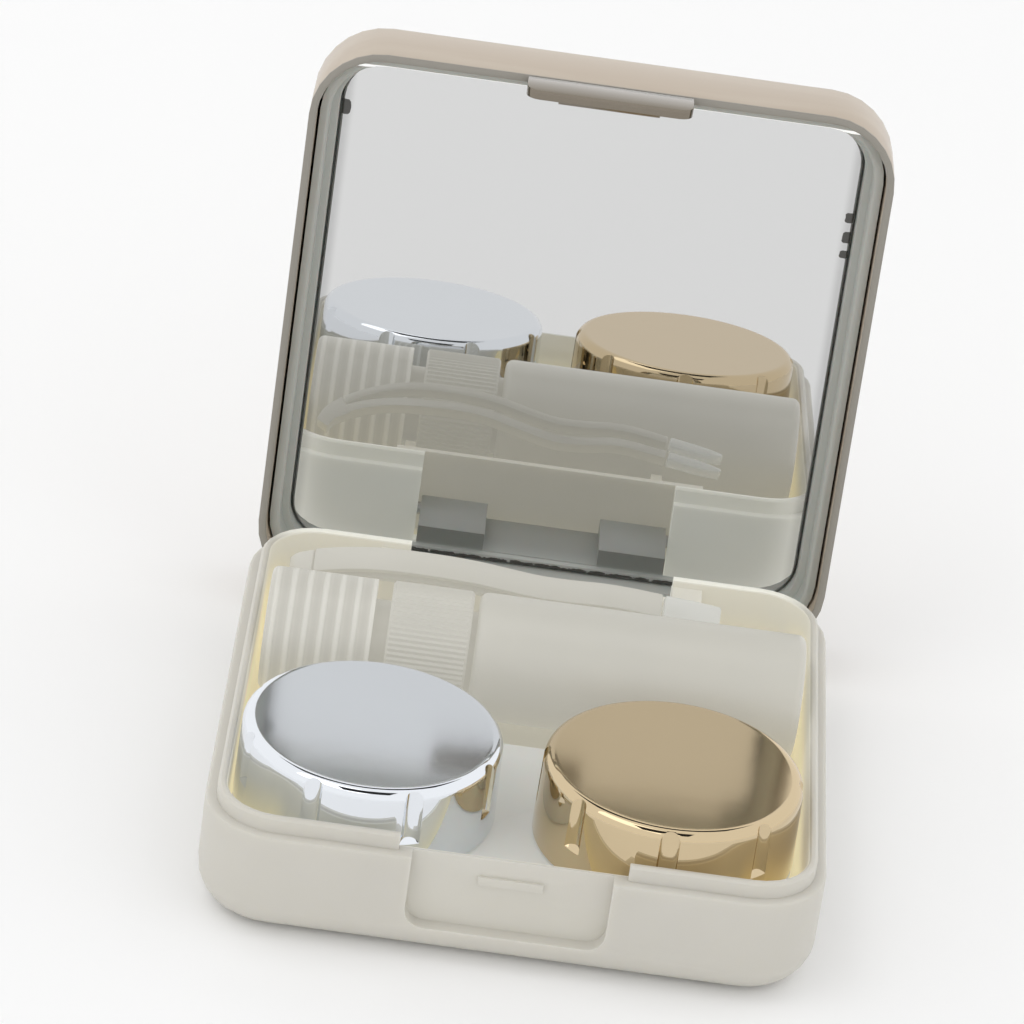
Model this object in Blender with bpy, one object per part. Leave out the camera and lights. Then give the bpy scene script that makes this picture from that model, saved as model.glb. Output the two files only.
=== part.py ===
"""Travel contact lens case: a hinged box with a mirror in its lid, holding a twin lens well
with two screw caps, a solution bottle and a pair of soft-tipped lens tweezers.

Frame: +X right, +Y back (hinge side), +Z up, origin at the centre of the base's underside.
Units are metres. The lid stands open at LID_OPEN_DEG, and every lid piece is modelled shut,
about the hinge axis, then turned with its parent empty.
"""

from math import cos, pi, radians, sin, tan

import bmesh
import bpy
from mathutils import Matrix, Vector

# ---------------------------------------------------------------- clearances
GAP = 0.0003  # between any two pieces that touch
OVERLAP = 0.0004  # how far united shapes run into each other

# ---------------------------------------------------------------- base tray
BASE_WIDTH = 0.070
BASE_DEPTH = 0.070
BODY_HEIGHT = 0.0132
WALL = 0.0023
FLOOR = 0.0018
CORNER_RADIUS = 0.0085
BOTTOM_FILLET = 0.0050
INNER_FILLET = 0.0022
BODY_EDGE_FILLET = 0.0005
LIP_HEIGHT = 0.0019
LIP_STEP = 0.00125  # the lip stands this far inside the body's outer face
LIP_EDGE = 0.0003

# front recess that the lid's catch drops into
RECESS_WIDTH = 0.0225
RECESS_DROP = 0.0090
RECESS_DEPTH = 0.0019
RECESS_CORNER = 0.0022
LIP_NOTCH_WIDTH = 0.0256
CATCH_RIDGE_WIDTH = 0.0073
CATCH_RIDGE_DEPTH = 0.0004
CATCH_RIDGE_HEIGHT = 0.0010
CATCH_RIDGE_DROP = 0.0023  # from the body's top edge to the ridge's top

# ---------------------------------------------------------------- hinge
HINGE_INSET = 0.0030  # pin axis, in from the base's back face
HINGE_HEIGHT = 0.0072
PIN_RADIUS = 0.0008
PIN_IN_KNUCKLE = 0.0050
PIN_IN_BASE = 0.0026
KNUCKLE_RADIUS = 0.0017
KNUCKLE_LENGTH = 0.0084
KNUCKLE_SIDE_GAP = 0.0004
POCKET_WIDTH = 0.0320
POCKET_CLEARANCE = 0.0004  # round the knuckles
POCKET_DROP = 0.0012  # the pocket's floor is this much lower still, for the tongue to lie back over
HOUSING_SIDE = 0.0036
HOUSING_HEIGHT = 0.0141
HOUSING_BACKING = 0.0012
TONGUE_THICKNESS = 0.0013
TONGUE_REACH = 0.0008  # below the pin axis, when shut
LID_OPEN_DEG = 95.0

# ---------------------------------------------------------------- lid
PARTING_GAP = 0.0003
LID_HEIGHT = 0.0120
COVER_WALL = 0.0009
COVER_TOP = 0.0008
COVER_EDGE_FILLET = 0.0022
LINER_RECESS = 0.0027  # the liner's rim stands this far inside the cover's rim
LINER_WALL = 0.0021
LINER_RIM_WALL = 0.0012  # the liner is thinner up to its step, clear of the caps
LINER_STEP = 0.0034  # from the liner's rim to the step
LINER_FLOOR = 0.0007
LINER_CHAMFER = 0.0003
MIRROR_THICKNESS = 0.0010
MIRROR_BEVEL = 0.0002
TAPE_THICKNESS = 0.0002
TAPE_INSET = 0.0060

CATCH_WIDTH = 0.0197
CATCH_THICKNESS = 0.00115
CATCH_DROP = 0.0050  # below the lid's rim
CATCH_CORNER = 0.0016
CATCH_ROOT_THICKNESS = 0.0004
CATCH_ROOT_RISE = 0.0024
CATCH_LEDGE = 0.0008
CATCH_HOOK_DEPTH = 0.00025
CATCH_HOOK_HEIGHT = 0.0010
CATCH_HOOK_WIDTH = 0.0120

# ---------------------------------------------------------------- twin lens wells and caps
WELL_SPACING = 0.0342
WELLS_X = -0.0003
WELLS_Y = -0.0174
WELL_FLANGE_RADIUS = 0.0149
WELL_FLANGE_HEIGHT = 0.0021
WELL_FOOT_RADIUS = 0.0120
WELL_FOOT_HEIGHT = 0.0046  # the cups reach this far below the flange
WELL_RADIUS = 0.0109
WELL_WALL = 0.0012
WELL_BOWL_FLOOR = 0.0014
WEB_FRONT = 0.0145  # from the wells' line to the plate's front edge
WEB_BACK = 0.0172  # and to its back edge
WEB_EDGE = 0.0004
THREAD_PITCH = 0.0024
THREAD_RUNOUT = 0.0007  # plain wall above the thread
THREAD_HEIGHT = 0.0008
THREAD_BITE = 0.0003  # how far the two threads reach past each other
THREAD_BASE = 0.0009
THREAD_CREST = 0.0005
THREAD_TURNS = 1.25

CAP_HEIGHT = 0.0100
CAP_TOP_RADIUS = 0.0148
CAP_DRAFT_DEG = 1.0
CAP_WALL = 0.0009
CAP_TOP = 0.0010
CAP_EDGE_FILLET = 0.0009
CAP_FLUTES = 8
FLUTE_RADIUS = 0.0012
FLUTE_DEPTH = 0.0007
FLUTE_STOP = 0.0030  # above the cap's lower edge
CAP_LINER_TOP = 0.0010
CAP_SEAL_THICKNESS = 0.0008

# ---------------------------------------------------------------- solution bottle, lying along X
BOTTLE_Y = 0.0101
BOTTLE_REST_Z = 0.0064  # underside of the bottle, above the table
SADDLE_X = (-0.0180, 0.0140)
SADDLE_THICKNESS = 0.0014
SADDLE_FRONT = 0.0012  # from the bottle's axis
SADDLE_BACK = 0.0130
SADDLE_HEIGHT = 0.0112
BOTTLE_RADIUS = 0.0075
BOTTLE_LENGTH = 0.0632
BOTTLE_WALL = 0.0009
BOTTLE_BOTTOM = 0.0011
BOTTLE_SHOULDER = 0.0010
BOTTLE_END_CLEARANCE = 0.0010  # from the cap to the tray's left wall
BODY_START = 0.0246  # from the cap's closed end to the bottle's shoulder
NECK_START = 0.0085
NECK_RADIUS = 0.0050
NECK_BORE = 0.0034
NECK_THREAD_HEIGHT = 0.00075
NECK_THREAD_BITE = 0.0003
NECK_THREAD_TURNS = 1.0
BOTTLE_CAP_LENGTH = 0.0125
BOTTLE_CAP_RADIUS = 0.0073
BOTTLE_CAP_WALL = 0.0009
BOTTLE_CAP_END = 0.0011
BOTTLE_CAP_FILLET = 0.0008
COLLAR_START = 0.0143
COLLAR_LENGTH = 0.0096
COLLAR_RADIUS = 0.0074
NOZZLE_TIP = 0.0032
NOZZLE_TIP_RADIUS = 0.0011
NOZZLE_ROOT_RADIUS = 0.0022
NOZZLE_FLANGE = 0.0008
NOZZLE_FLANGE_RADIUS = 0.0044
NOZZLE_PLUG_LENGTH = 0.0050
NOZZLE_BORE = 0.0005
BOTTLE_SEAL_THICKNESS = 0.0007

# ---------------------------------------------------------------- tweezers, behind the bottle
# The two arms lie one above the other, in a plane that leans over the bottle about a line along X.
# Routes are (x, height above that line) of centre lines.
TWEEZER_Y = 0.0237
TWEEZER_Z = 0.0150
TWEEZER_LEAN_DEG = 38.0
ARM_WIDTH = 0.0030
ARM_THICKNESS = 0.0010
HEEL_THICKNESS = 0.0024
HEEL_END_THICKNESS = 0.0016
HEEL_ROUTE = ((-0.0295, -0.0014), (-0.0286, 0.0001), (-0.0268, 0.0014))
UPPER_ROUTE = (
    (-0.0271, 0.0020),
    (-0.0245, 0.0034),
    (-0.0210, 0.0047),
    (-0.0170, 0.0053),
    (-0.0120, 0.0053),
    (-0.0080, 0.0049),
    (-0.0045, 0.0041),
    (-0.0005, 0.0032),
    (0.0035, 0.0031),
    (0.0070, 0.0034),
    (0.0105, 0.0032),
    (0.0145, 0.0025),
)
LOWER_ROUTE = (
    (-0.0266, 0.0009),
    (-0.0240, 0.0019),
    (-0.0205, 0.0027),
    (-0.0165, 0.0030),
    (-0.0125, 0.0031),
    (-0.0090, 0.0028),
    (-0.0045, 0.0017),
    (0.0000, 0.0007),
    (0.0040, 0.0008),
    (0.0085, 0.0013),
    (0.0145, 0.0005),
)
ARM_STEPS = 4
TIP_LENGTH = 0.0070
TIP_THICKNESS = 0.0012
TIP_WIDTH = 0.0028
TIP_FALL_DEG = 9.0

# ---------------------------------------------------------------- how finely curves are cut
CORNER_STEPS = 7
FILLET_STEPS = 4
ROUND_STEPS = 48
SMALL_ROUND_STEPS = 28
PIN_STEPS = 20

# ---------------------------------------------------------------- derived places
HALF_WIDTH = BASE_WIDTH / 2
HALF_DEPTH = BASE_DEPTH / 2
HINGE_Y = HALF_DEPTH - HINGE_INSET
RIM_Z = BODY_HEIGHT + PARTING_GAP  # the shut lid's rim
LID_TOP_Z = RIM_Z + LID_HEIGHT
LINER_TOP_Z = LID_TOP_Z - COVER_TOP - GAP
LINER_CEILING_Z = LINER_TOP_Z - LINER_FLOOR
TAPE_TOP_Z = LINER_CEILING_Z - GAP
MIRROR_TOP_Z = TAPE_TOP_Z - TAPE_THICKNESS - GAP
LINER_OUTER_INSET = COVER_WALL + GAP
LINER_INNER_INSET = LINER_OUTER_INSET + LINER_WALL
LINER_STEP_INSET = LINER_OUTER_INSET + LINER_RIM_WALL
LINER_RIM_Z = RIM_Z + LINER_RECESS
MIRROR_INSET = LINER_INNER_INSET + GAP

POCKET_HALF = POCKET_WIDTH / 2
POCKET_FRONT_Y = HINGE_Y - KNUCKLE_RADIUS - POCKET_CLEARANCE
POCKET_FLOOR_Z = HINGE_HEIGHT - KNUCKLE_RADIUS - POCKET_CLEARANCE - POCKET_DROP
HOUSING_HALF = POCKET_HALF + HOUSING_SIDE
KNUCKLE_OUTER_X = POCKET_HALF - KNUCKLE_SIDE_GAP

TRAY_FLOOR_Z = FLOOR + GAP
CAP_BOTTOM_Z = TRAY_FLOOR_Z + WELL_FOOT_HEIGHT + WELL_FLANGE_HEIGHT + GAP
CAP_TOP_Z = CAP_BOTTOM_Z + CAP_HEIGHT
CAP_INNER_RADIUS = CAP_TOP_RADIUS - CAP_WALL
CAP_LINER_RADIUS = CAP_INNER_RADIUS - GAP
CAP_LINER_TOP_Z = CAP_TOP_Z - CAP_TOP - GAP
CAP_SEAL_TOP_Z = CAP_LINER_TOP_Z - CAP_LINER_TOP - GAP
WELL_RIM_Z = CAP_SEAL_TOP_Z - CAP_SEAL_THICKNESS - GAP
CAP_LINER_BORE = WELL_RADIUS + THREAD_HEIGHT + THREAD_HEIGHT - THREAD_BITE
THREAD_START_Z = WELL_RIM_Z - THREAD_RUNOUT - THREAD_PITCH * THREAD_TURNS

BOTTLE_Z = BOTTLE_REST_Z + BOTTLE_RADIUS
BOTTLE_LEFT_X = -HALF_WIDTH + WALL + BOTTLE_END_CLEARANCE
BOTTLE_CAP_BORE = BOTTLE_CAP_RADIUS - BOTTLE_CAP_WALL


# ---------------------------------------------------------------- scene and materials
def clear_scene():
    for item in list(bpy.data.objects):
        bpy.data.objects.remove(item, do_unlink=True)


def material(name, colour, roughness, metallic=0.0, transmission=0.0):
    made = bpy.data.materials.new(name)
    made.use_nodes = True
    shader = made.node_tree.nodes["Principled BSDF"]
    shader.inputs["Base Color"].default_value = (*colour, 1.0)
    shader.inputs["Roughness"].default_value = roughness
    shader.inputs["Metallic"].default_value = metallic
    shader.inputs["Transmission Weight"].default_value = transmission
    return made


def empty(name, place, parent=None, turn=(0.0, 0.0, 0.0)):
    made = bpy.data.objects.new(name, None)
    made.empty_display_size = 0.01
    made.location = place
    made.rotation_euler = turn
    made.parent = parent
    bpy.context.collection.objects.link(made)
    return made


def to_object(name, bm, finish=None, parent=None, pivot=(0.0, 0.0, 0.0)):
    """Links the mesh as an object. The mesh was made round the world's origin, and pivot is
    where the parent stands, so that the piece's own origin lies on its joint's axis."""
    bmesh.ops.remove_doubles(bm, verts=bm.verts, dist=1e-7)
    bmesh.ops.recalc_face_normals(bm, faces=bm.faces)
    bmesh.ops.translate(bm, verts=bm.verts, vec=-Vector(pivot))
    mesh = bpy.data.meshes.new(name)
    bm.to_mesh(mesh)
    bm.free()
    mesh.shade_smooth()
    mesh.set_sharp_from_angle(angle=radians(35))
    made = bpy.data.objects.new(name, mesh)
    if finish:
        mesh.materials.append(finish)
    made.parent = parent
    bpy.context.collection.objects.link(made)
    return made


def boolean(target, name, bm, operation, pivot=(0.0, 0.0, 0.0)):
    """Cuts the bmesh from the target, or unites the two, through a hidden helper object."""
    helper = to_object(f"{target.name}_{name}", bm, pivot=pivot)
    helper.parent = target.parent
    helper.hide_render = True
    helper.display_type = "WIRE"
    step = target.modifiers.new(name, "BOOLEAN")
    step.operation = operation
    step.solver = "EXACT"
    step.object = helper
    return helper


# ---------------------------------------------------------------- shapes
def rounded_ring(width, depth, radius, inset=0.0, steps=CORNER_STEPS):
    """Corner points of a rounded rectangle, anticlockwise, drawn in by inset all round."""
    half_x, half_y = width / 2 - inset, depth / 2 - inset
    corner = max(radius - inset, 0.0004)
    points = []
    for quarter, (sx, sy) in enumerate(((1, 1), (-1, 1), (-1, -1), (1, -1))):
        centre = Vector((sx * (half_x - corner), sy * (half_y - corner)))
        for step in range(steps + 1):
            angle = (quarter + step / steps) * pi / 2
            points.append(centre + corner * Vector((cos(angle), sin(angle))))
    return points


def skin(bm, rings):
    """A closed skin through rings of the same number of points, capped at both ends."""
    loops = [[bm.verts.new(point) for point in ring] for ring in rings]
    count = len(loops[0])
    for low, high in zip(loops, loops[1:]):
        for i in range(count):
            j = (i + 1) % count
            bm.faces.new((low[i], low[j], high[j], high[i]))
    bm.faces.new(loops[0])
    bm.faces.new(loops[-1])


def rounded_block(levels, width=BASE_WIDTH, depth=BASE_DEPTH, radius=CORNER_RADIUS):
    """A rounded-rectangle body through (z, inset) levels, in order along its skin."""
    bm = bmesh.new()
    rings = []
    for z, inset in levels:
        ring = rounded_ring(width, depth, radius, inset)
        rings.append([Vector((p.x, p.y, z)) for p in ring])
    skin(bm, rings)
    return bm


def arc(centre, radius, start_deg, end_deg, steps=FILLET_STEPS):
    """(first, second) points on an arc in a profile's plane, ends included."""
    turns = [start_deg + (end_deg - start_deg) * i / steps for i in range(steps + 1)]
    return [(centre[0] + radius * cos(radians(t)), centre[1] + radius * sin(radians(t))) for t in turns]


def turned(profile, steps=ROUND_STEPS):
    """Spins a closed outline of (radius, height) points about Z. Points at radius 0 are poles."""
    bm = bmesh.new()
    verts = [bm.verts.new((radius, 0.0, height)) for radius, height in profile]
    edges = [bm.edges.new(pair) for pair in zip(verts, verts[1:])]
    if profile[0][0] > 0 or profile[-1][0] > 0:
        edges.append(bm.edges.new((verts[-1], verts[0])))
    bmesh.ops.spin(
        bm, geom=verts + edges, cent=(0, 0, 0), axis=(0, 0, 1), angle=2 * pi, steps=steps, use_merge=True
    )
    bmesh.ops.remove_doubles(bm, verts=bm.verts, dist=1e-7)
    return bm


def block(low, high):
    bm = bmesh.new()
    size = Vector(high) - Vector(low)
    middle = (Vector(high) + Vector(low)) / 2
    bmesh.ops.create_cube(bm, size=1.0, matrix=Matrix.Translation(middle) @ Matrix.Diagonal((*size, 1)))
    return bm


def round_bar(radius, start, end, steps=PIN_STEPS):
    """A cylinder from one point to another."""
    bm = bmesh.new()
    start, end = Vector(start), Vector(end)
    line = end - start
    place = Matrix.Translation((start + end) / 2) @ line.to_track_quat("Z", "Y").to_matrix().to_4x4()
    bmesh.ops.create_cone(
        bm,
        cap_ends=True,
        segments=steps,
        radius1=radius,
        radius2=radius,
        depth=line.length,
        matrix=place,
    )
    return bm


def tongue_plate(width, low_z, high_z, low_y, high_y, corner):
    """An upright plate across X whose two lower corners are rounded in its own plane."""
    bm = bmesh.new()
    half = width / 2
    outline = [(half, high_z), (-half, high_z)]
    outline += arc((-half + corner, low_z + corner), corner, 180, 270)
    outline += arc((half - corner, low_z + corner), corner, 270, 360)
    skin(bm, [[Vector((x, y, z)) for x, z in outline] for y in (low_y, high_y)])
    return bm


def joined(*parts):
    """Several bmeshes in one, for shapes that don't touch each other."""
    bm = bmesh.new()
    for part in parts:
        mesh = bpy.data.meshes.new("joined")
        part.to_mesh(mesh)
        part.free()
        bm.from_mesh(mesh)
        bpy.data.meshes.remove(mesh)
    return bm


def helical_ridge(root, crest, start_z, turns, pitch, around=32, phase=0.0):
    """A trapezoid thread ridge from the root radius to the crest radius, run out at its ends.
    It turns about Z, and rises anticlockwise, as a right-hand thread does."""
    bm = bmesh.new()
    count = int(round(around * turns))
    rings = []
    for i in range(count + 1):
        share = i / count
        angle = phase + 2 * pi * turns * share
        z = start_z + pitch * turns * share
        rise = min(1.0, 0.15 + 6 * share, 0.15 + 6 * (1 - share))
        tip = root + (crest - root) * rise
        across = Vector((cos(angle), sin(angle), 0))
        up = Vector((0, 0, 1))
        rings.append(
            [
                root * across + (z - THREAD_BASE / 2) * up,
                tip * across + (z - THREAD_CREST / 2) * up,
                tip * across + (z + THREAD_CREST / 2) * up,
                root * across + (z + THREAD_BASE / 2) * up,
            ]
        )
    skin(bm, rings)
    return bm


# ---------------------------------------------------------------- base
def make_base(finish):
    fillet = [(BOTTOM_FILLET + z, BOTTOM_FILLET + x) for x, z in arc((0, 0), BOTTOM_FILLET, 270, 180, 6)]
    inner_floor = WALL + INNER_FILLET
    inner = [(FLOOR + INNER_FILLET + z, inner_floor + x) for x, z in arc((0, 0), INNER_FILLET, 180, 270)]
    lip_top = BODY_HEIGHT + LIP_HEIGHT
    body_edge = [
        (BODY_HEIGHT - BODY_EDGE_FILLET + z, BODY_EDGE_FILLET + x)
        for x, z in arc((0, 0), BODY_EDGE_FILLET, 180, 90, 2)
    ]
    levels = fillet + body_edge
    levels += [(BODY_HEIGHT, LIP_STEP), (lip_top - LIP_EDGE, LIP_STEP), (lip_top, LIP_STEP + LIP_EDGE)]
    levels += [(lip_top, WALL - LIP_EDGE), (lip_top - LIP_EDGE, WALL)] + inner
    base = to_object("base_tray", rounded_block(levels), finish)

    housing = block(
        (-HOUSING_HALF, POCKET_FRONT_Y - HOUSING_BACKING, FLOOR / 2),
        (HOUSING_HALF, HALF_DEPTH - WALL + OVERLAP, HOUSING_HEIGHT),
    )
    boolean(base, "hinge_housing", housing, "UNION")
    for x in SADDLE_X:
        saddle = block(
            (x - SADDLE_THICKNESS / 2, BOTTLE_Y + SADDLE_FRONT, FLOOR / 2),
            (x + SADDLE_THICKNESS / 2, BOTTLE_Y + SADDLE_BACK, SADDLE_HEIGHT),
        )
        boolean(base, "bottle_saddle", saddle, "UNION")
    reach = HALF_WIDTH - WALL - OVERLAP
    widest = max(BOTTLE_RADIUS, COLLAR_RADIUS, BOTTLE_CAP_RADIUS)
    berth = round_bar(widest + GAP, (-reach, BOTTLE_Y, BOTTLE_Z), (reach, BOTTLE_Y, BOTTLE_Z))
    boolean(base, "bottle_berth", berth, "DIFFERENCE")

    above = lip_top + OVERLAP
    pocket = block(
        (-POCKET_HALF, POCKET_FRONT_Y, POCKET_FLOOR_Z),
        (POCKET_HALF, HALF_DEPTH + WALL, above),
    )
    boolean(base, "hinge_pocket", pocket, "DIFFERENCE")
    rear_notch = block(
        (-POCKET_HALF, POCKET_FRONT_Y, BODY_HEIGHT),
        (POCKET_HALF, HALF_DEPTH + WALL, above),
    )
    boolean(base, "rear_lip_notch", rear_notch, "DIFFERENCE")
    front_notch = block(
        (-LIP_NOTCH_WIDTH / 2, -HALF_DEPTH - WALL, BODY_HEIGHT),
        (LIP_NOTCH_WIDTH / 2, -HALF_DEPTH + WALL + OVERLAP, above),
    )
    boolean(base, "front_lip_notch", front_notch, "DIFFERENCE")
    recess = tongue_plate(
        RECESS_WIDTH,
        BODY_HEIGHT - RECESS_DROP,
        above,
        -HALF_DEPTH - WALL,
        -HALF_DEPTH + RECESS_DEPTH,
        RECESS_CORNER,
    )
    boolean(base, "catch_recess", recess, "DIFFERENCE")
    ridge_top = BODY_HEIGHT - CATCH_RIDGE_DROP
    ridge = block(
        (-CATCH_RIDGE_WIDTH / 2, -HALF_DEPTH + RECESS_DEPTH - CATCH_RIDGE_DEPTH, ridge_top - CATCH_RIDGE_HEIGHT),
        (CATCH_RIDGE_WIDTH / 2, -HALF_DEPTH + RECESS_DEPTH + OVERLAP, ridge_top),
    )
    boolean(base, "catch_ridge", ridge, "UNION")
    bores = joined(
        *(
            round_bar(
                PIN_RADIUS + GAP,
                (side * (POCKET_HALF - OVERLAP), HINGE_Y, HINGE_HEIGHT),
                (side * (POCKET_HALF + PIN_IN_BASE + GAP), HINGE_Y, HINGE_HEIGHT),
            )
            for side in (-1, 1)
        )
    )
    boolean(base, "pin_bores", bores, "DIFFERENCE")
    return base


def make_hinge_pins(finish):
    for side, name in ((-1, "hinge_pin_left"), (1, "hinge_pin_right")):
        inner_x = side * (KNUCKLE_OUTER_X - PIN_IN_KNUCKLE)
        outer_x = side * (POCKET_HALF + PIN_IN_BASE)
        pivot = Vector((0, HINGE_Y, HINGE_HEIGHT))
        pin = round_bar(PIN_RADIUS, (inner_x, HINGE_Y, HINGE_HEIGHT), (outer_x, HINGE_Y, HINGE_HEIGHT))
        made = to_object(name, pin, finish, pivot=pivot)
        made.location = pivot


# ---------------------------------------------------------------- lid, modelled shut about its axis
def make_cover(finish, hinge):
    low = -COVER_EDGE_FILLET
    outer = [(LID_TOP_Z + low + z, -low + x) for x, z in arc((0, 0), COVER_EDGE_FILLET, 180, 90, 6)]
    inner_edge = COVER_EDGE_FILLET - COVER_WALL
    top_inside = LID_TOP_Z - COVER_TOP
    inner = [
        (top_inside - inner_edge + z, COVER_WALL + inner_edge + x)
        for x, z in arc((0, 0), inner_edge, 90, 180)
    ]
    levels = [(top_inside, HALF_DEPTH / 2)] + inner + [(RIM_Z, COVER_WALL), (RIM_Z, 0.0)] + outer
    levels.append((LID_TOP_Z, HALF_DEPTH / 2))
    return to_object("lid_cover", rounded_block(levels), finish, hinge, hinge.location)


def make_liner(finish, hinge):
    """The mirror's frame. Its corner is eased where it meets the rounded inside of the cover."""
    ease = COVER_EDGE_FILLET - COVER_WALL
    outer = [
        (LINER_TOP_Z - ease + z, LINER_OUTER_INSET + ease + x) for x, z in arc((0, 0), ease, 90, 180)
    ]
    levels = [(LINER_TOP_Z, HALF_DEPTH / 2)] + outer
    levels += [
        (LINER_RIM_Z, LINER_OUTER_INSET),
        (LINER_RIM_Z, LINER_STEP_INSET - LINER_CHAMFER),
        (LINER_RIM_Z + LINER_CHAMFER, LINER_STEP_INSET),
        (LINER_RIM_Z + LINER_STEP, LINER_STEP_INSET),
        (LINER_RIM_Z + LINER_STEP, LINER_INNER_INSET),
        (LINER_CEILING_Z, LINER_INNER_INSET),
        (LINER_CEILING_Z, HALF_DEPTH / 2),
    ]
    liner = to_object("lid_liner", rounded_block(levels), finish, hinge, hinge.location)

    back_y = HALF_DEPTH - LINER_OUTER_INSET
    tongue = block(
        (-KNUCKLE_OUTER_X, back_y - TONGUE_THICKNESS, HINGE_HEIGHT - TONGUE_REACH),
        (KNUCKLE_OUTER_X, back_y, LINER_RIM_Z + LINER_CHAMFER),
    )
    boolean(liner, "hinge_tongue", tongue, "UNION", hinge.location)
    for side, name in ((-1, "left_knuckle"), (1, "right_knuckle")):
        ends = sorted((side * KNUCKLE_OUTER_X, side * (KNUCKLE_OUTER_X - KNUCKLE_LENGTH)))
        web = block(
            (ends[0], HINGE_Y - KNUCKLE_RADIUS, HINGE_HEIGHT),
            (ends[1], back_y - OVERLAP / 2, LINER_RIM_Z + OVERLAP),
        )
        boolean(liner, f"{name}_web", web, "UNION", hinge.location)
        barrel = round_bar(
            KNUCKLE_RADIUS,
            (ends[0], HINGE_Y, HINGE_HEIGHT),
            (ends[1], HINGE_Y, HINGE_HEIGHT),
            SMALL_ROUND_STEPS,
        )
        boolean(liner, f"{name}_barrel", barrel, "UNION", hinge.location)
    bores = joined(
        *(
            round_bar(
                PIN_RADIUS + GAP,
                (side * (KNUCKLE_OUTER_X + OVERLAP), HINGE_Y, HINGE_HEIGHT),
                (side * (KNUCKLE_OUTER_X - PIN_IN_KNUCKLE - GAP), HINGE_Y, HINGE_HEIGHT),
            )
            for side in (-1, 1)
        )
    )
    boolean(liner, "pin_bores", bores, "DIFFERENCE", hinge.location)
    return liner


def make_mirror(glass, foam, hinge):
    bottom = MIRROR_TOP_Z - MIRROR_THICKNESS
    levels = [
        (MIRROR_TOP_Z, MIRROR_INSET),
        (bottom + MIRROR_BEVEL, MIRROR_INSET),
        (bottom, MIRROR_INSET + MIRROR_BEVEL),
    ]
    to_object("mirror_glass", rounded_block(levels), glass, hinge, hinge.location)
    levels = [(TAPE_TOP_Z, MIRROR_INSET + TAPE_INSET), (TAPE_TOP_Z - TAPE_THICKNESS, MIRROR_INSET + TAPE_INSET)]
    to_object("mirror_tape", rounded_block(levels), foam, hinge, hinge.location)


def make_catch(finish, hinge):
    outer_y = -HALF_DEPTH
    blade_top = RIM_Z - GAP
    blade = tongue_plate(
        CATCH_WIDTH, RIM_Z - CATCH_DROP, blade_top, outer_y, outer_y + CATCH_THICKNESS, CATCH_CORNER
    )
    catch = to_object("lid_catch", blade, finish, hinge, hinge.location)
    root_y = outer_y + COVER_WALL + GAP
    root = block(
        (-CATCH_WIDTH / 2, root_y, blade_top - CATCH_LEDGE / 2),
        (CATCH_WIDTH / 2, root_y + CATCH_ROOT_THICKNESS, RIM_Z + CATCH_ROOT_RISE),
    )
    boolean(catch, "root", root, "UNION", hinge.location)
    ledge = block(
        (-CATCH_WIDTH / 2, outer_y + CATCH_THICKNESS - OVERLAP, blade_top - CATCH_LEDGE),
        (CATCH_WIDTH / 2, root_y + CATCH_ROOT_THICKNESS, blade_top),
    )
    boolean(catch, "ledge", ledge, "UNION", hinge.location)
    hook_top = BODY_HEIGHT - CATCH_RIDGE_DROP - CATCH_RIDGE_HEIGHT - GAP
    hook_y = outer_y + CATCH_THICKNESS
    hook = block(
        (-CATCH_HOOK_WIDTH / 2, hook_y - OVERLAP, hook_top - CATCH_HOOK_HEIGHT),
        (CATCH_HOOK_WIDTH / 2, hook_y + CATCH_HOOK_DEPTH, hook_top),
    )
    boolean(catch, "hook", hook, "UNION", hinge.location)
    return catch


# ---------------------------------------------------------------- twin lens wells
def well_place(side):
    return Vector((WELLS_X + side * WELL_SPACING / 2, WELLS_Y, 0))


def make_wells(finish, frame):
    bm = bmesh.new()
    foot = TRAY_FLOOR_Z
    bottom, top = foot + WELL_FOOT_HEIGHT, foot + WELL_FOOT_HEIGHT + WELL_FLANGE_HEIGHT
    half_web = WELL_SPACING / 2
    rings = []
    for z, inset in ((bottom, WEB_EDGE), (bottom + WEB_EDGE, 0), (top - WEB_EDGE, 0), (top, WEB_EDGE)):
        front, back = inset - WEB_FRONT, WEB_BACK - inset
        corners = ((half_web, back), (-half_web, back), (-half_web, front), (half_web, front))
        rings.append([Vector((WELLS_X + x, WELLS_Y + y, z)) for x, y in corners])
    skin(bm, rings)
    wells = to_object("lens_case_body", bm, finish, frame, frame.location)
    for side, name in ((-1, "left"), (1, "right")):
        place = well_place(side)
        inner = WELL_RADIUS - WELL_WALL
        bowl = arc((0, 0), 1.0, 270, 360, 6)
        depth = WELL_RIM_Z - foot - WELL_BOWL_FLOOR - 0.0020
        profile = [(0, foot), (WELL_FOOT_RADIUS - WEB_EDGE, foot), (WELL_FOOT_RADIUS, foot + WEB_EDGE)]
        profile += [(WELL_FOOT_RADIUS, bottom)]
        profile += [(WELL_FLANGE_RADIUS - WEB_EDGE, bottom), (WELL_FLANGE_RADIUS, bottom + WEB_EDGE)]
        profile += [(WELL_FLANGE_RADIUS, top - WEB_EDGE), (WELL_FLANGE_RADIUS - WEB_EDGE, top)]
        profile += [(WELL_RADIUS, top), (WELL_RADIUS, WELL_RIM_Z), (inner, WELL_RIM_Z)]
        profile += [(inner * x, foot + WELL_BOWL_FLOOR + depth * (1 + y)) for x, y in reversed(bowl[1:])]
        profile += [(0, foot + WELL_BOWL_FLOOR)]
        well = turned(profile)
        bmesh.ops.translate(well, verts=well.verts, vec=place)
        boolean(wells, f"{name}_well", well, "UNION", frame.location)
        ridge = helical_ridge(
            WELL_RADIUS - OVERLAP / 2, WELL_RADIUS + THREAD_HEIGHT, THREAD_START_Z, THREAD_TURNS, THREAD_PITCH
        )
        bmesh.ops.translate(ridge, verts=ridge.verts, vec=place)
        boolean(wells, f"{name}_thread", ridge, "UNION", frame.location)
    return wells


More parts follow.
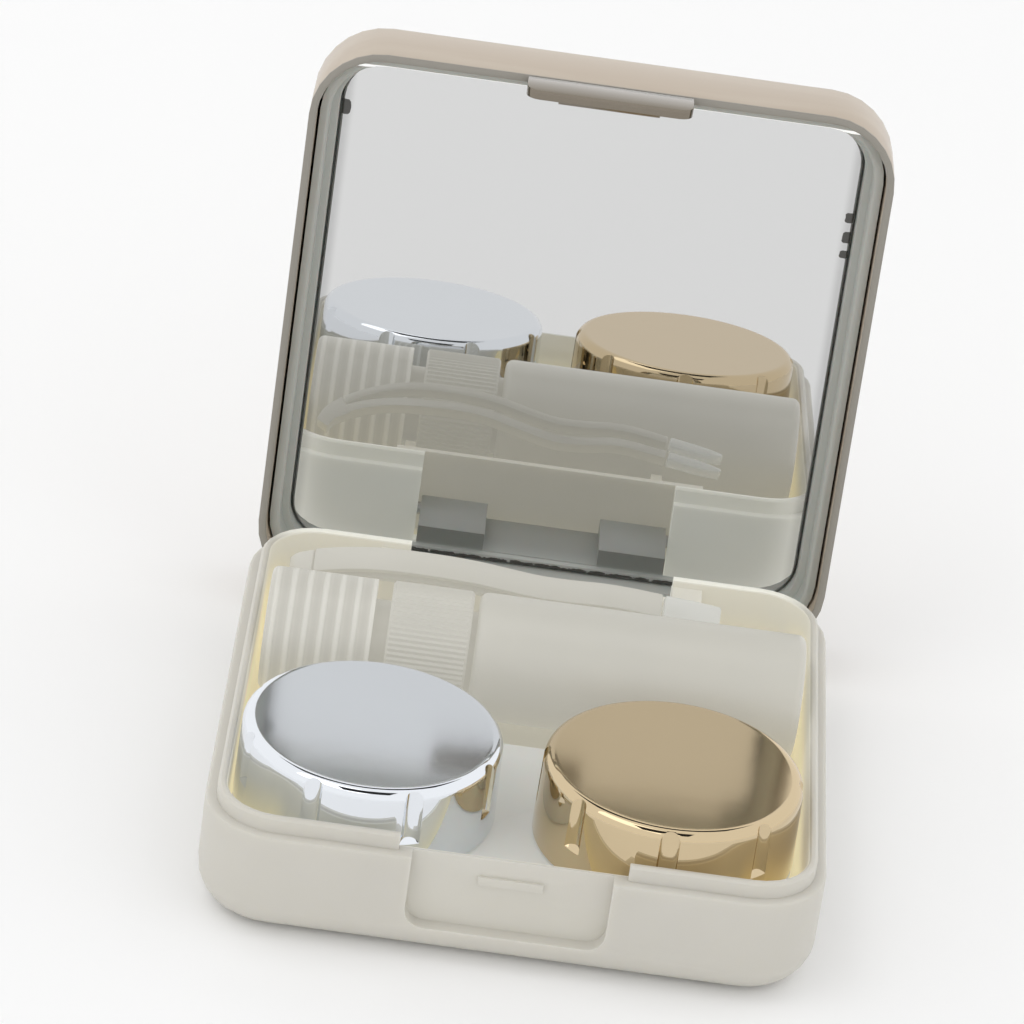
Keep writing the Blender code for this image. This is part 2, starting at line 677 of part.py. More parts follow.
def make_cap(name, side, flute_phase, shell_finish, insert_finish, seal_finish, frame):
    """One plated screw cap: the fluted shell, the threaded insert pressed into it, and the seal."""
    place = well_place(side)
    lift = empty(f"{name}_lift", place - frame.location, frame)
    skirt = CAP_TOP_RADIUS + CAP_HEIGHT * tan(radians(CAP_DRAFT_DEG))
    shoulder = CAP_TOP_Z - CAP_EDGE_FILLET
    profile = [(0, CAP_TOP_Z - CAP_TOP), (CAP_INNER_RADIUS, CAP_TOP_Z - CAP_TOP), (CAP_INNER_RADIUS, CAP_BOTTOM_Z)]
    profile += [(skirt, CAP_BOTTOM_Z)]
    profile += arc((CAP_TOP_RADIUS - CAP_EDGE_FILLET, shoulder), CAP_EDGE_FILLET, 0, 90, 6)
    profile += [(0, CAP_TOP_Z)]
    shell = to_object(f"{name}_shell", turned(profile), shell_finish, lift)
    flutes = []
    middle = skirt + FLUTE_RADIUS - FLUTE_DEPTH - (skirt - CAP_TOP_RADIUS) / 2
    for i in range(CAP_FLUTES):
        angle = 2 * pi * (i + flute_phase) / CAP_FLUTES
        low = Vector((middle * cos(angle), middle * sin(angle), CAP_BOTTOM_Z + FLUTE_STOP))
        high = Vector((low.x, low.y, CAP_TOP_Z + FLUTE_RADIUS))
        flute = round_bar(FLUTE_RADIUS, low, high, 16)
        # the flute's foot slopes out and down, so that it runs out through the skirt
        outward = Vector((cos(angle), sin(angle), 0))
        for vert in flute.verts:
            if vert.co.z < CAP_TOP_Z:
                vert.co.z -= (vert.co - low).dot(outward) * 0.6
        flutes.append(flute)
    boolean(shell, "flutes", joined(*flutes), "DIFFERENCE")

    insert_bottom = CAP_BOTTOM_Z + GAP
    profile = [(0, CAP_LINER_TOP_Z - CAP_LINER_TOP), (CAP_LINER_BORE, CAP_LINER_TOP_Z - CAP_LINER_TOP)]
    profile += [(CAP_LINER_BORE, insert_bottom), (CAP_LINER_RADIUS, insert_bottom)]
    profile += [(CAP_LINER_RADIUS, CAP_LINER_TOP_Z), (0, CAP_LINER_TOP_Z)]
    insert = to_object(f"{name}_insert", turned(profile), insert_finish, lift)
    ridge = helical_ridge(
        CAP_LINER_BORE + OVERLAP / 2,
        WELL_RADIUS + THREAD_HEIGHT - THREAD_BITE,
        THREAD_START_Z - THREAD_PITCH / 2,
        THREAD_TURNS,
        THREAD_PITCH,
    )
    boolean(insert, "thread", ridge, "UNION")

    seal_radius = CAP_LINER_BORE - GAP
    bottom = CAP_SEAL_TOP_Z - CAP_SEAL_THICKNESS
    profile = [(0, bottom), (seal_radius, bottom), (seal_radius, CAP_SEAL_TOP_Z), (0, CAP_SEAL_TOP_Z)]
    to_object(f"{name}_seal", turned(profile), seal_finish, lift)


# ---------------------------------------------------------------- bottle
def along_bottle(profile, steps=SMALL_ROUND_STEPS):
    """Spins (radius, distance from the cap's closed end) about the bottle's axis."""
    bm = turned(profile, steps)
    turn = Matrix.Rotation(pi / 2, 4, "Y")
    bmesh.ops.transform(bm, matrix=turn, verts=bm.verts)
    bmesh.ops.translate(bm, verts=bm.verts, vec=(BOTTLE_LEFT_X, BOTTLE_Y, BOTTLE_Z))
    return bm


def along_bottle_ridge(root, crest, start, phase):
    bm = helical_ridge(root, crest, start, NECK_THREAD_TURNS, THREAD_PITCH, 28, phase)
    turn = Matrix.Rotation(pi / 2, 4, "Y")
    bmesh.ops.transform(bm, matrix=turn, verts=bm.verts)
    bmesh.ops.translate(bm, verts=bm.verts, vec=(BOTTLE_LEFT_X, BOTTLE_Y, BOTTLE_Z))
    return bm


def make_bottle(frosted, collar_finish, nozzle_finish, cap_finish, seal_finish, frame):
    pivot = frame.location
    end = BOTTLE_LENGTH
    outer = arc((BOTTLE_RADIUS - BOTTLE_SHOULDER, BODY_START + BOTTLE_SHOULDER), BOTTLE_SHOULDER, 270, 360)
    foot = arc((BOTTLE_RADIUS - BOTTLE_SHOULDER, end - BOTTLE_SHOULDER), BOTTLE_SHOULDER, 0, 90)
    profile = [(NECK_BORE, NECK_START), (NECK_RADIUS, NECK_START), (NECK_RADIUS, BODY_START)]
    profile += outer + foot + [(0, end), (0, end - BOTTLE_BOTTOM)]
    profile += [(BOTTLE_RADIUS - BOTTLE_WALL, end - BOTTLE_BOTTOM)]
    profile += [(BOTTLE_RADIUS - BOTTLE_WALL, BODY_START + BOTTLE_WALL + BOTTLE_SHOULDER)]
    profile += [(NECK_BORE, BODY_START + BOTTLE_WALL)]
    body = to_object("bottle_body", closed_ring_with_pole(profile), frosted, frame, pivot)
    thread_start = NECK_START + 0.0003 + THREAD_BASE / 2
    ridge = along_bottle_ridge(NECK_RADIUS - OVERLAP / 2, NECK_RADIUS + NECK_THREAD_HEIGHT, thread_start, 0.0)
    boolean(body, "neck_thread", ridge, "UNION", pivot)

    low = COLLAR_START
    high = COLLAR_START + COLLAR_LENGTH
    bore = NECK_RADIUS + GAP
    edge = LIP_EDGE
    profile = [(bore, low), (COLLAR_RADIUS - edge, low), (COLLAR_RADIUS, low + edge)]
    profile += [(COLLAR_RADIUS, high - edge), (COLLAR_RADIUS - edge, high), (bore, high)]
    to_object("bottle_collar", along_bottle(profile), collar_finish, frame, pivot)

    flange = NECK_START - GAP
    face = flange - NOZZLE_FLANGE
    plug = NECK_BORE - GAP
    profile = [(NOZZLE_BORE, NOZZLE_TIP), (NOZZLE_TIP_RADIUS, NOZZLE_TIP), (NOZZLE_ROOT_RADIUS, face)]
    profile += [(NOZZLE_FLANGE_RADIUS, face), (NOZZLE_FLANGE_RADIUS, flange), (plug, flange)]
    profile += [(plug, flange + NOZZLE_PLUG_LENGTH), (NOZZLE_BORE, flange + NOZZLE_PLUG_LENGTH)]
    to_object("bottle_nozzle", along_bottle(profile, PIN_STEPS), nozzle_finish, frame, pivot)

    outside = arc((BOTTLE_CAP_RADIUS - BOTTLE_CAP_FILLET, BOTTLE_CAP_FILLET), BOTTLE_CAP_FILLET, 270, 360)
    profile = [(0, 0)] + outside + [(BOTTLE_CAP_RADIUS, BOTTLE_CAP_LENGTH), (BOTTLE_CAP_BORE, BOTTLE_CAP_LENGTH)]
    profile += [(BOTTLE_CAP_BORE, BOTTLE_CAP_END), (0, BOTTLE_CAP_END)]
    cap = to_object("bottle_cap", along_bottle(profile), cap_finish, frame, pivot)
    ridge = along_bottle_ridge(
        BOTTLE_CAP_BORE + OVERLAP / 2,
        NECK_RADIUS + NECK_THREAD_HEIGHT - NECK_THREAD_BITE,
        thread_start - THREAD_PITCH / 2,
        0.0,
    )
    boolean(cap, "cap_thread", ridge, "UNION", pivot)

    start = BOTTLE_CAP_END + GAP
    radius = BOTTLE_CAP_BORE - GAP
    profile = [(0, start), (radius, start), (radius, start + BOTTLE_SEAL_THICKNESS)]
    profile += [(0, start + BOTTLE_SEAL_THICKNESS)]
    to_object("bottle_cap_seal", along_bottle(profile), seal_finish, frame, pivot)


def closed_ring_with_pole(profile):
    """The bottle's outline meets its axis twice at the foot, so its two runs start from there."""
    poles = [i for i, (radius, _) in enumerate(profile) if radius == 0]
    return along_bottle(profile[poles[1]:] + profile[: poles[0] + 1], SMALL_ROUND_STEPS)


# ---------------------------------------------------------------- tweezers
def smooth_route(points, steps):
    """Points on a smooth curve through the route's own points, with the tangent at each."""
    found = []
    ends = [2 * points[0] - points[1], *points, 2 * points[-1] - points[-2]]
    for a, b, c, d in zip(ends, ends[1:], ends[2:], ends[3:]):
        for i in range(steps):
            t = i / steps
            place = 0.5 * (2 * b + (c - a) * t + (2 * a - 5 * b + 4 * c - d) * t**2 + (3 * b - a - 3 * c + d) * t**3)
            slope = 0.5 * ((c - a) + 2 * (2 * a - 5 * b + 4 * c - d) * t + 3 * (3 * b - a - 3 * c + d) * t**2)
            found.append((place, slope.normalized()))
    last = points[-1] - points[-2]
    found.append((points[-1], last.normalized()))
    return found


def leaning(x, across, height):
    """A point of the tweezers, given across and above the line that their plane leans about."""
    lean = Matrix.Rotation(radians(TWEEZER_LEAN_DEG), 3, "X")
    return Vector((0.0, TWEEZER_Y, TWEEZER_Z)) + lean @ Vector((x, across, height))


def swept_strip(route, thicknesses, width):
    """A flat strip along the route, as thick as given in the tweezers' plane, and as wide across it."""
    bm = bmesh.new()
    rings = []
    for (place, along), thickness in zip(route, thicknesses):
        across = Vector((-along.y, along.x)) * thickness / 2
        top, foot = place + across, place - across
        rings.append(
            [
                leaning(foot.x, -width / 2, foot.y),
                leaning(foot.x, width / 2, foot.y),
                leaning(top.x, width / 2, top.y),
                leaning(top.x, -width / 2, top.y),
            ]
        )
    skin(bm, rings)
    return bm


def make_tweezers(frosted, soft, frame):
    pivot = frame.location
    upper = smooth_route([Vector(point) for point in UPPER_ROUTE], ARM_STEPS)
    lower = smooth_route([Vector(point) for point in LOWER_ROUTE], ARM_STEPS)
    heel = smooth_route([Vector(point) for point in HEEL_ROUTE], ARM_STEPS)

    thickness = [ARM_THICKNESS] * len(lower)
    strip = swept_strip(lower, thickness, ARM_WIDTH)
    lower_arm = to_object("tweezer_lower_arm", strip, frosted, frame, pivot)
    thickness = [ARM_THICKNESS] * len(upper)
    growth = HEEL_THICKNESS - HEEL_END_THICKNESS
    heel_thickness = [HEEL_END_THICKNESS + growth * i / (len(heel) - 1) for i in range(len(heel))]
    heel_block = swept_strip(heel, heel_thickness, ARM_WIDTH - OVERLAP)
    boolean(lower_arm, "heel", heel_block, "UNION", pivot)

    start = leaning(UPPER_ROUTE[0][0], 0.0, UPPER_ROUTE[0][1])
    hinge = empty("tweezer_squeeze", start - pivot, frame)
    to_object("tweezer_upper_arm", swept_strip(upper, thickness, ARM_WIDTH), frosted, hinge, start)

    fall = radians(TIP_FALL_DEG)
    along = Vector((cos(fall), -sin(fall)))
    swell = [1.0, 1.0, 1.0, 0.85, 0.5]
    for name, route, parent, base in (
        ("tweezer_lower_tip", lower, frame, pivot),
        ("tweezer_upper_tip", upper, hinge, start),
    ):
        first = route[-1][0] + along * GAP
        tip_route = [(first + along * TIP_LENGTH * i / 4, along) for i in range(5)]
        tip = swept_strip(tip_route, [TIP_THICKNESS * share for share in swell], TIP_WIDTH)
        to_object(name, tip, soft, parent, base)


# ---------------------------------------------------------------- the whole object
def main():
    clear_scene()
    milky = material("milky_polypropylene", (0.80, 0.80, 0.75), 0.38)
    grey = material("grey_liner_plastic", (0.62, 0.64, 0.61), 0.45)
    champagne = material("champagne_lacquer", (0.72, 0.62, 0.50), 0.35, 0.3)
    gloss = material("champagne_plating", (0.78, 0.68, 0.55), 0.12, 0.9)
    steel = material("pin_steel", (0.62, 0.62, 0.63), 0.3, 1.0)
    silvering = material("silvered_glass", (0.93, 0.94, 0.94), 0.02, 1.0)
    foam = material("tape_foam", (0.30, 0.30, 0.29), 0.9)
    white = material("white_polypropylene", (0.86, 0.86, 0.83), 0.4)
    chrome = material("bright_chrome_plating", (0.85, 0.86, 0.88), 0.06, 1.0)
    gold = material("pale_gold_plating", (0.80, 0.64, 0.42), 0.08, 1.0)
    rubber = material("clear_silicone", (0.88, 0.88, 0.86), 0.35, 0.0, 0.4)
    frosted = material("frosted_polyethylene", (0.86, 0.86, 0.82), 0.42, 0.0, 0.5)

    make_base(milky)
    make_hinge_pins(steel)

    hinge = empty("lid_hinge", (0.0, HINGE_Y, HINGE_HEIGHT), turn=(-radians(LID_OPEN_DEG), 0.0, 0.0))
    make_cover(champagne, hinge)
    make_liner(grey, hinge)
    make_mirror(silvering, foam, hinge)
    make_catch(gloss, hinge)

    wells_frame = empty("lens_case_frame", (WELLS_X, WELLS_Y, 0.0))
    make_wells(white, wells_frame)
    make_cap("silver_cap", -1, 0.5, chrome, white, rubber, wells_frame)
    make_cap("gold_cap", 1, 0.0, gold, white, rubber, wells_frame)

    bottle_frame = empty("bottle_frame", (BOTTLE_LEFT_X, BOTTLE_Y, BOTTLE_Z))
    make_bottle(frosted, frosted, white, frosted, rubber, bottle_frame)

    tweezer_frame = empty("tweezer_frame", leaning(HEEL_ROUTE[0][0], 0.0, HEEL_ROUTE[0][1]))
    make_tweezers(frosted, rubber, tweezer_frame)


main()
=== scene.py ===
"""Finishes for a travel contact lens case: the hinged tray and mirror lid, the plated screw caps on
their twin wells, the frosted bottle and the soft-tipped tweezers, with a plain stage to show them on.
"""

from math import cos, pi, radians, sin, tan

import bmesh
import bpy
from bpy.props import FloatProperty, FloatVectorProperty, IntProperty, PointerProperty
from mathutils import Matrix, Vector


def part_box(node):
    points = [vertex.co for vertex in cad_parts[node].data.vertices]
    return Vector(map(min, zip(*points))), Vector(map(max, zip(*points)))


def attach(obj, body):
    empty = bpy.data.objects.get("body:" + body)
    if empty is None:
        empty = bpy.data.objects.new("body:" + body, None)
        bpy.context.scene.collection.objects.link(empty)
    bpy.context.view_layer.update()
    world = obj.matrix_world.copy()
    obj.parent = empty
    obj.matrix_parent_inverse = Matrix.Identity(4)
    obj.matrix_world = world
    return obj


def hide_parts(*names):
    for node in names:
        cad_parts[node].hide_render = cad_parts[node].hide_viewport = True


bl_info = {
    "name": "Contact Lens Case",
    "version": (1, 0, 0),
    "blender": (4, 5, 0),
    "location": "3D View > Sidebar > Lens Case",
    "description": "Finishes a travel contact lens case and sets it on a stage",
    "category": "Object",
}

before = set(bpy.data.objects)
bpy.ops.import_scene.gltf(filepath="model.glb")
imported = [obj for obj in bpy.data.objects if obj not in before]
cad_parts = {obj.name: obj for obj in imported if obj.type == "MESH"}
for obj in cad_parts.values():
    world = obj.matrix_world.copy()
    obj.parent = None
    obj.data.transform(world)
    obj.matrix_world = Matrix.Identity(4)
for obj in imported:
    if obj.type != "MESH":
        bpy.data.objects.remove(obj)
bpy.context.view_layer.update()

TRAY_LOW, TRAY_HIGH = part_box("base_tray")
CAP_LOW, CAP_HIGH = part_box("silver_cap_shell")
GOLD_LOW, GOLD_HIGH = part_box("gold_cap_shell")
BOTTLE_CAP_LOW, BOTTLE_CAP_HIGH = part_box("bottle_cap")
COLLAR_LOW, COLLAR_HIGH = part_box("bottle_collar")
MIRROR_LOW, MIRROR_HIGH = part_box("mirror_glass")


def colour(name, description, value):
    return FloatVectorProperty(
        name=name, description=description, default=value, subtype="COLOR", min=0.0, max=1.0
    )


def length(name, description, value):
    return FloatProperty(name=name, description=description, default=value, unit="LENGTH", min=0.0)


class LensCaseColours(bpy.types.PropertyGroup):
    milky: colour("Milky tray", "Colour of the translucent tray", (0.600, 0.580, 0.525))
    # painted shade: a darker copy of the tray's own colour, for the inside under its painted glow
    milky_shaded_inside: colour("Inside", "Colour down inside the tray", (0.560, 0.545, 0.490))
    # painted light: a warm glow painted into the colour down inside the walls
    glow: colour("Inside glow", "Warm tint down inside the tray's walls", (0.700, 0.610, 0.360))
    liner: colour("Lid liner", "Colour of the mirror's frame", (0.450, 0.460, 0.430))
    lacquer: colour("Lid lacquer", "Main colour of the lid's cover", (0.500, 0.415, 0.325))
    lacquer_vein: colour("Lacquer vein", "Paler veins in the lid's cover", (0.570, 0.495, 0.405))
    gloss: colour("Catch", "Colour of the glossy catch", (0.240, 0.208, 0.165))
    chrome: colour("Chrome cap", "Reflection of the chrome cap", (0.800, 0.830, 0.870))
    gold: colour("Gold cap", "Reflection of the gold cap", (0.640, 0.515, 0.330))
    silvering: colour("Mirror", "Reflection of the mirror", (0.690, 0.692, 0.690))
    frosted: colour("Frosted plastic", "Colour of the bottle and the tweezers", (0.450, 0.442, 0.405))
    white: colour("Wells", "Colour of the twin wells", (0.590, 0.595, 0.570))
    silicone: colour("Silicone", "Colour of the soft tips and seals", (0.560, 0.560, 0.540))


class LensCaseSizes(bpy.types.PropertyGroup):
    tray_wall: length("Tray wall", "Thickness of the tray's wall", 0.0023)
    tray_corner: length("Tray corner", "Radius of the tray's corners, inside", 0.0062)
    hinge_y: length("Hinge depth", "How far back the hinge's axis is", 0.0320)
    hinge_z: length("Hinge height", "How high the hinge's axis is", 0.0072)
    lid_rim: length("Lid rim", "From the hinge's axis to the lid's rim", 0.0063)
    lid_lean: FloatProperty(
        name="Lid lean", description="How far the open lid leans back", default=radians(5.0), subtype="ANGLE"
    )
    lid_frame: length("Lid frame", "From the hinge's axis to the inner side of the liner's top bar", 0.0646)
    edge: length("Edge easing", "Rounding of the moulded edges", 0.00016)
    cap_fillet: length("Cap fillet", "Rounding of a screw cap's top edge", 0.0013)
    cap_top: length("Cap top", "Thickness of a screw cap's top", 0.0010)
    cap_wall: length("Cap wall", "Thickness of a screw cap's skirt", 0.0009)
    cap_draft: FloatProperty(
        name="Cap draft", description="Slope of a screw cap's skirt", default=radians(1.0), subtype="ANGLE"
    )
    cap_flutes: IntProperty(name="Cap flutes", description="Grips round a screw cap", default=8, min=3)
    flute_radius: length("Flute radius", "Radius of a cap's flute", 0.0013)
    flute_depth: length("Flute depth", "How deep a flute cuts into the cap", 0.00075)
    flute_stop: length("Flute stop", "Height of a flute's foot above the cap's lower edge", 0.0030)
    collar_ribs: IntProperty(
        name="Collar ribs", description="Fine ribs round the bottle's collar", default=72, min=8
    )
    collar_rib: length("Collar rib", "Height of a rib on the bottle's collar", 0.00014)
    ring_pitch: length("Ring pitch", "Distance between the rings on the bottle's cap", 0.0019)


class LensCaseStage(bpy.types.PropertyGroup):
    target: FloatVectorProperty(
        name="Target",
        description="Point the camera looks at",
        default=(-0.00469, 0.02644, 0.02466),
        subtype="TRANSLATION",
        unit="LENGTH",
    )
    azimuth: FloatProperty(
        name="Azimuth", description="Camera's turn to the right", default=radians(-1.063), subtype="ANGLE"
    )
    elevation: FloatProperty(
        name="Elevation", description="Camera's height angle", default=radians(28.342), subtype="ANGLE"
    )
    roll: FloatProperty(
        name="Roll", description="Camera's roll about its view", default=radians(8.316), subtype="ANGLE"
    )
    distance: length("Distance", "Camera's distance from its target", 0.640)
    lens: FloatProperty(name="Lens", description="Focal length", default=188.65, unit="CAMERA")
    floor: colour("Floor", "Colour of the floor", (0.97, 0.97, 0.97))
    room: FloatProperty(name="Room light", description="Brightness of the room all round", default=1.05)
    key: FloatProperty(
        name="Key light", description="Power of the large overhead lamp", default=1.6, unit="POWER"
    )


# ---------------------------------------------------------------- shader maths
class Value:
    """A shader socket that plain expressions work on; each operation adds its Math node."""

    def __init__(self, look, socket):
        self.look = look
        self.socket = socket

    def _with(self, operation, *others):
        return self.look.math(operation, self, *others)

    def __add__(self, other):
        return self._with("ADD", other)

    def __sub__(self, other):
        return self._with("SUBTRACT", other)

    def __mul__(self, other):
        return self._with("MULTIPLY", other)

    def __truediv__(self, other):
        return self._with("DIVIDE", other)

    def __rsub__(self, other):
        return self.look.math("SUBTRACT", other, self)

    def __abs__(self):
        return self._with("ABSOLUTE")

    __radd__ = __add__
    __rmul__ = __mul__

    def above(self, edge):
        return self._with("GREATER_THAN", edge)

    def rise(self, low, high):
        """0 below low, 1 above high, smooth between."""
        settings = {"interpolation_type": "SMOOTHSTEP"}
        inputs = {"Value": self, "From Min": low, "From Max": high}
        made = self.look.node("ShaderNodeMapRange", settings, inputs)
        return Value(self.look, made.outputs["Result"])

    def band(self, low, high, soft):
        """1 between low and high, 0 outside."""
        return self.rise(low - soft, low + soft) * (1 - self.rise(high - soft, high + soft))


def socket_name(key):
    return "IOR" if key == "ior" else key.replace("_", " ").title()


class Look:
    """A material built from nodes, with its Principled shader."""

    def __init__(self, name, **fixed):
        self.material = bpy.data.materials.new(name)
        self.material.use_nodes = True
        self.tree = self.material.node_tree
        self.shader = self.tree.nodes["Principled BSDF"]
        self.feed(self.shader, {socket_name(key): value for key, value in fixed.items()})
        coordinates = self.node("ShaderNodeTexCoord", {}, {})
        self.place = coordinates.outputs["Object"]
        parts = self.node("ShaderNodeSeparateXYZ", {}, {"Vector": self.place})
        self.x, self.y, self.z = (Value(self, parts.outputs[axis]) for axis in "XYZ")

    def feed(self, node, inputs):
        for key, value in inputs.items():
            socket = node.inputs[key]
            if isinstance(value, Value):
                value = value.socket
            if isinstance(value, bpy.types.NodeSocket):
                self.tree.links.new(value, socket)
            elif socket.type == "RGBA":
                socket.default_value = (*value[:3], 1.0)
            else:
                socket.default_value = value

    def node(self, kind, settings, inputs):
        """A node of that type: its settings first, then the values or links of its sockets."""
        made = self.tree.nodes.new(kind)
        for key, value in settings.items():
            setattr(made, key, value)
        self.feed(made, inputs)
        return made

    def math(self, operation, *values):
        made = self.node("ShaderNodeMath", {"operation": operation}, dict(enumerate(values)))
        return Value(self, made.outputs[0])

    def noise(self, scale, detail=2.0, distortion=0.0, stretch=(1.0, 1.0, 1.0)):
        mapping = self.node("ShaderNodeMapping", {}, {"Vector": self.place, "Scale": stretch})
        inputs = {"Vector": mapping.outputs[0], "Scale": scale, "Detail": detail, "Distortion": distortion}
        return Value(self, self.node("ShaderNodeTexNoise", {}, inputs).outputs[0])

    def blend(self, factor, first, second):
        made = self.node("ShaderNodeMix", {"data_type": "RGBA"}, {0: factor, 6: first, 7: second})
        return made.outputs[2]

    def surface(self, **inputs):
        """Feeds what varies over the surface to the shader; bump is a height in metres."""
        height = inputs.pop("bump", None)
        if height is not None:
            bump = self.node("ShaderNodeBump", {}, {"Height": height, "Distance": 1.0, "Strength": 1.0})
            inputs["normal"] = bump.outputs[0]
        self.feed(self.shader, {socket_name(key): value for key, value in inputs.items()})
        return self.material


def colours():
    return bpy.context.scene.lens_case_colours


def sizes():
    return bpy.context.scene.lens_case_sizes


def darker(shade, share):
    return tuple(channel * share for channel in shade)


def milky_look():
    """Milky polypropylene: pale and soft. Painted light: a warm glow painted and emitted down inside the
    walls and an emitted glow on the back; painted shade: a darker copy of its colour inside.
    """
    shade = tuple(colours().milky)
    look = Look("milky_polypropylene", subsurface_weight=0.35, subsurface_scale=0.0022, ior=1.48)
    look.feed(look.shader, {"Subsurface Radius": (1.0, 0.95, 0.75)})
    half = TRAY_HIGH.x - sizes().tray_wall
    wide, deep = abs(look.x), abs(look.y)
    straight = half - sizes().tray_corner
    over_x, over_y = look.math("MAXIMUM", wide - straight, 0.0), look.math("MAXIMUM", deep - straight, 0.0)
    reach = look.math("SQRT", over_x * over_x + over_y * over_y)
    inside = (sizes().tray_corner + 0.0001 - reach).above(0.0) * look.z.above(0.0010)
    # painted light: masks for the warm glow, near the inside walls and low down
    side = wide.rise(half - 0.0035, half - 0.0002) * (1 - look.z.rise(0.0070, 0.0142)) * inside
    back = deep.rise(half - 0.0030, half - 0.0002) * (1 - look.z.rise(0.0050, 0.0130)) * inside
    clouds = look.noise(70.0, 3.0)
    glow = look.math("MAXIMUM", side, back * 0.5) * (0.45 + clouds * 0.7)
    base = look.blend(clouds.rise(0.3, 0.7) * 0.5, shade, darker(shade, 0.95))
    # painted shade: the inside takes the darker copy of the tray's colour
    base = look.blend(inside, base, tuple(colours().milky_shaded_inside))
    grain = look.noise(2600.0, 2.0)
    # painted light: an emitted glow inside and on the outer back stands in for light passing through the
    # walls, so neither falls into shadow
    light = look.blend(glow, (0.200, 0.193, 0.165), (0.370, 0.332, 0.215))
    rear = look.y.rise(half - 0.0040, half + 0.0008) * (1 - inside)
    outside = look.blend(rear, (0.0, 0.0, 0.0), (0.320, 0.330, 0.300))
    look.feed(look.shader, {"Emission Strength": 1.0})
    # painted light: the warm glow tints the colour, and the emission lights the inside and the back
    return look.surface(
        base_color=look.blend(glow, base, tuple(colours().glow)),
        emission_color=look.blend(inside, outside, light),
        roughness=0.36 + clouds * 0.12,
        bump=grain * 0.000006 + clouds * 0.00002,
    )


def up_the_lid(look):
    """How far a point of the open lid is from the hinge's axis, along the lid."""
    wanted = sizes()
    lean = wanted.lid_lean
    return (look.y - wanted.hinge_y) * sin(lean) + (look.z - wanted.hinge_z) * cos(lean)


def liner_look():
    shade = tuple(colours().liner)
    look = Look("grey_liner_plastic", subsurface_weight=0.12, subsurface_scale=0.0010)
    clouds = look.noise(90.0, 3.0)
    grain = look.noise(2400.0, 2.0)
    # painted light: below the mirror, where it thins to the hinge, it is painted paler and given an emitted
    # glow
    lit_below_mirror = 1 - look.z.rise(MIRROR_LOW.z - 0.0016, MIRROR_LOW.z - 0.0002)
    # painted light: the inner side of its top bar glows pale, as the caps' flat tops reflect it
    along = up_the_lid(look)
    pale = along.band(sizes().lid_frame - 0.00025, sizes().lid_frame + 0.00010, 0.00005)
    base = look.blend(lit_below_mirror, shade, (0.60, 0.62, 0.58))
    light = look.blend(lit_below_mirror, (0.0, 0.0, 0.0), (0.430, 0.450, 0.425))
    look.feed(look.shader, {"Emission Strength": 1.0})
    return look.surface(
        base_color=look.blend(clouds * 0.5, base, darker(shade, 0.90)),
        emission_color=look.blend(pale, light, (0.70, 0.70, 0.70)),
        roughness=0.34 + clouds * 0.14,
        bump=grain * 0.000006,
    )


def lacquer_look():
    """Satin champagne lacquer with faint veins, under a clear coat."""
    look = Look("champagne_lacquer", coat_roughness=0.16, metallic=0.25)
    veins = look.noise(45.0, 6.0, 1.4, (0.35, 1.6, 1.6))
    fleck = look.noise(5200.0, 1.0)
    vein = veins.rise(0.42, 0.66)
    shade = look.blend(vein * 0.7, tuple(colours().lacquer), tuple(colours().lacquer_vein))
    # the cut end of the moulding, all round the open rim, shows darker than the lacquer
    wanted = sizes()
    lean = wanted.lid_lean
    back = (look.y - wanted.hinge_y) * cos(lean) - (look.z - wanted.hinge_z) * sin(lean)
    rim = 1 - back.rise(wanted.lid_rim + 0.00008, wanted.lid_rim + 0.00040)
    return look.surface(
        base_color=look.blend(rim, shade, (0.290, 0.273, 0.240)),
        roughness=0.33 + vein * 0.08 + fleck * 0.08,
        coat_weight=0.35 - rim * 0.3,
        bump=fleck * 0.000003,
    )


def gloss_look():
    look = Look("champagne_plating", metallic=0.95, coat_roughness=0.05)
    clouds = look.noise(260.0, 3.0)
    shade = tuple(colours().gloss)
    return look.surface(
        base_color=look.blend(clouds, shade, darker(shade, 0.86)),
        roughness=0.07 + clouds * 0.08,
        coat_weight=0.2 + clouds * 0.2,
        bump=clouds * 0.000018,
    )


def plated_look(name, shade):
    """Bright plating: a mirror finish with faint polishing waves, and a satin top."""
    look = Look(name, metallic=1.0)
    waves = look.noise(130.0, 2.0)
    specks = look.noise(3800.0, 1.0)
    satin = look.z.above(CAP_HIGH.z - 0.00002) * 0.05
    return look.surface(
        base_color=look.blend(waves * 0.5, shade, darker(shade, 0.95)),
        roughness=0.035 + specks.rise(0.62, 0.8) * 0.05 + waves * 0.015 + satin,
        bump=waves * 0.000010,
    )


def mirror_look():
    """Back-silvered glass whose silvering has flaked here and there along its edge."""
    look = Look("silvered_glass", coat_roughness=0.01)
    half = MIRROR_HIGH.x
    ragged = look.noise(900.0, 4.0)
    sides = abs(look.x).rise(half - 0.0016, half - 0.0004)
    chips = None
    for x, z, size in ((-1, 0.90, 0.0016), (1, 0.815, 0.0010), (1, 0.775, 0.0012), (1, 0.74, 0.0008)):
        height = MIRROR_LOW.z + (MIRROR_HIGH.z - MIRROR_LOW.z) * z
        level = 1 - abs(look.z - height).rise(size * 0.3, size)
        near = level * (look.x * x).rise(half - 0.0015, half - 0.0006)
        chips = near if chips is None else look.math("MAXIMUM", chips, near)
    chips = (chips * (0.35 + ragged)).rise(0.42, 0.5)
    foot = 1 - look.z.rise(MIRROR_LOW.z + 0.0003, MIRROR_LOW.z + 0.0010)
    flaked = (foot * ragged).rise(0.34, 0.42)
    worn = look.math("MAXIMUM", chips, flaked)
    edge = look.math("MAXIMUM", sides * 0.25, worn)
    haze = look.noise(40.0, 2.0)
    silver = tuple(colours().silvering)
    return look.surface(
        base_color=look.blend(edge, silver, (0.045, 0.042, 0.036)),
        metallic=1 - worn * 0.9,
        roughness=0.012 + haze.rise(0.5, 0.8) * 0.01 + worn * 0.4,
        coat_weight=0.5 + worn * 0.4,
    )


